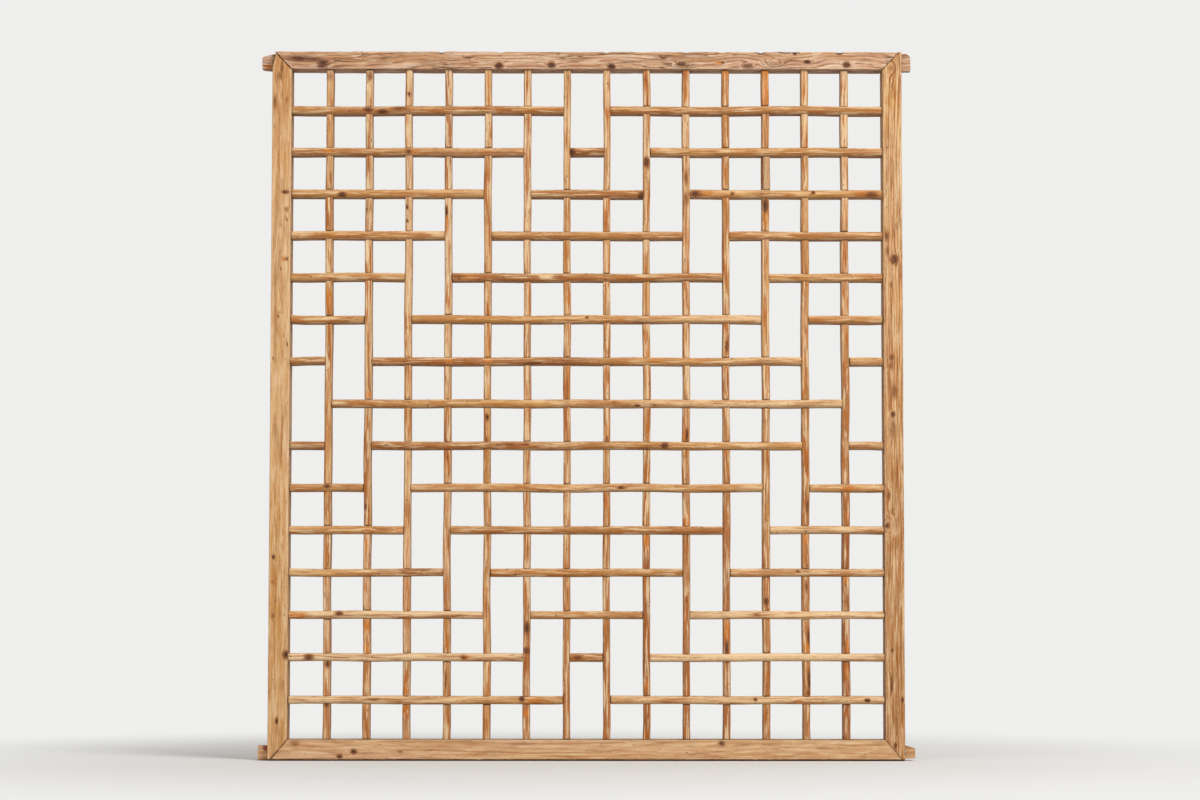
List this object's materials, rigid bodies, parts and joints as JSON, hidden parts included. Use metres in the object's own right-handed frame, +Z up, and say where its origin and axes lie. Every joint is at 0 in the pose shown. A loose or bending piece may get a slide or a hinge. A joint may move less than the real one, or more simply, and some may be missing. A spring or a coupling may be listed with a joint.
{
  "type": "lattice window panel",
  "caption": "Wooden lattice window panel: a mitred frame with horned rails round a half-lapped lattice of crowned bars stepped into nested diamonds.",
  "frame": {"origin": "middle of the panel's underside, at the floor it stands on", "axes": "+X along the panel's width, front face towards -Y, +Z up the panel's height"},
  "size_m": [0.931, 0.04, 1.01],
  "materials": {
    "top_rail_wood": "weathered, raised grain",
    "bottom_rail_wood": "smooth, waxed",
    "stile_wood": "worn, satin",
    "upright_wood": "worn, satin",
    "crossbar_wood": "worn, satin",
    "patch_wood": "plain repair, dull"
  },
  "bodies": {
    "root": {"crossbar_01_left": "crossbar_wood", "crossbar_01_right": "crossbar_wood", "crossbar_02_left": "crossbar_wood", "crossbar_02_middle": "crossbar_wood", "crossbar_02_right": "crossbar_wood", "crossbar_03_left": "crossbar_wood", "crossbar_03_middle": "crossbar_wood", "crossbar_03_right": "crossbar_wood", "crossbar_04_left": "crossbar_wood", "crossbar_04_middle": "crossbar_wood", "crossbar_04_right": "crossbar_wood", "crossbar_05_left": "crossbar_wood", "crossbar_05_middle": "crossbar_wood", "crossbar_05_right": "crossbar_wood", "crossbar_06_left": "crossbar_wood", "crossbar_06_middle": "crossbar_wood", "crossbar_06_right": "crossbar_wood", "crossbar_07_left": "crossbar_wood", "crossbar_07_middle": "crossbar_wood", "crossbar_07_right": "crossbar_wood", "crossbar_08_middle": "crossbar_wood", "crossbar_09_left": "crossbar_wood", "crossbar_09_middle": "crossbar_wood", "crossbar_09_right": "crossbar_wood", "crossbar_10_left": "crossbar_wood", "crossbar_10_middle": "crossbar_wood", "crossbar_10_right": "crossbar_wood", "crossbar_11_left": "crossbar_wood", "crossbar_11_middle": "crossbar_wood", "crossbar_11_right": "crossbar_wood", "crossbar_12_left": "crossbar_wood", "crossbar_12_middle": "crossbar_wood", "crossbar_12_right": "crossbar_wood", "crossbar_13_left": "crossbar_wood", "crossbar_13_middle": "crossbar_wood", "crossbar_13_right": "crossbar_wood", "crossbar_14_left": "crossbar_wood", "crossbar_14_middle": "crossbar_wood", "crossbar_14_right": "crossbar_wood", "crossbar_15_left": "crossbar_wood", "crossbar_15_right": "crossbar_wood", "rail_bottom": "bottom_rail_wood", "rail_top": "top_rail_wood", "stile_left": "stile_wood", "stile_right": "stile_wood", "upright_01": "upright_wood", "upright_02": "upright_wood", "upright_03": "upright_wood", "upright_04": "upright_wood", "upright_05": "upright_wood", "upright_06": "upright_wood", "upright_07": "upright_wood", "upright_08": "upright_wood", "upright_09": "upright_wood", "upright_10": "upright_wood", "upright_11": "upright_wood", "upright_12": "upright_wood", "upright_12_patch": "patch_wood", "upright_13": "upright_wood", "upright_14": "upright_wood"}
  },
  "joints": []
}
